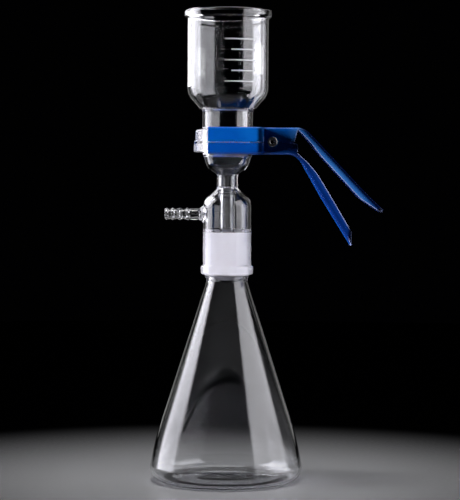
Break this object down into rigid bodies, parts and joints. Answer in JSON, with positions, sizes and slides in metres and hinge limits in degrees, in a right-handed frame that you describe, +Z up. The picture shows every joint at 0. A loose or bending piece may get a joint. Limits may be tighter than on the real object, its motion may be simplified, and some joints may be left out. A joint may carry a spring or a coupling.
{
  "type": "vacuum membrane filtration set",
  "caption": "All-glass vacuum filtration set: graduated funnel cup clamped on a sintered support head with a side hose barb, on a conical collecting flask.",
  "frame": {"origin": "centre of the flask's foot, on the plane that it stands on", "axes": "+Z up along the common axis of the flask, head and cup; the hose barb points along -X and the clamp's handles along +X"},
  "size_m": [0.2034, 0.134, 0.414],
  "materials": {
    "flask_glass": "clear polished, ground white on the neck's cone",
    "head_glass": "clear polished, ground white in the socket and on the flange",
    "cup_glass": "clear polished",
    "sintered_glass": "porous, matt",
    "membrane": "matt",
    "white_enamel": "fired on",
    "blue_anodised": "satin anodised",
    "rivet_steel": "plated",
    "spring_steel": "drawn wire"
  },
  "bodies": {
    "flask": {"collecting_flask": "flask_glass"},
    "head": {"filter_head": "head_glass", "sintered_disc": "sintered_glass", "membrane_filter": "membrane"},
    "cup": {"funnel_cup": "cup_glass", "cup_graduations": "white_enamel"},
    "clamp_lower": {"clamp_lower_lever": "blue_anodised", "clamp_hinge_pin": "rivet_steel", "clamp_torsion_spring": "spring_steel"},
    "clamp_upper": {"clamp_upper_lever": "blue_anodised"}
  },
  "joints": [
    {"name": "head_lift", "type": "slide", "parent": "flask", "child": "head", "axis": [0, 0, 1], "range_m": [0, 0.06]},
    {"name": "cup_turn", "type": "hinge", "parent": "head", "child": "cup", "pos_m": [0, 0, 0.2994], "axis": [0, 0, 1], "continuous": true},
    {"name": "clamp_slide", "type": "slide", "parent": "head", "child": "clamp_lower", "axis": [1, 0, 0], "range_m": [0, 0.06]},
    {"name": "clamp_open", "type": "hinge", "parent": "clamp_lower", "child": "clamp_upper", "pos_m": [0.039, 0, 0.2985], "axis": [0, 1, 0], "range_deg": [0, 16], "stiffness_Nm_per_rad": 1, "springref_deg": -28.65, "deforming": ["clamp_torsion_spring"]}
  ]
}
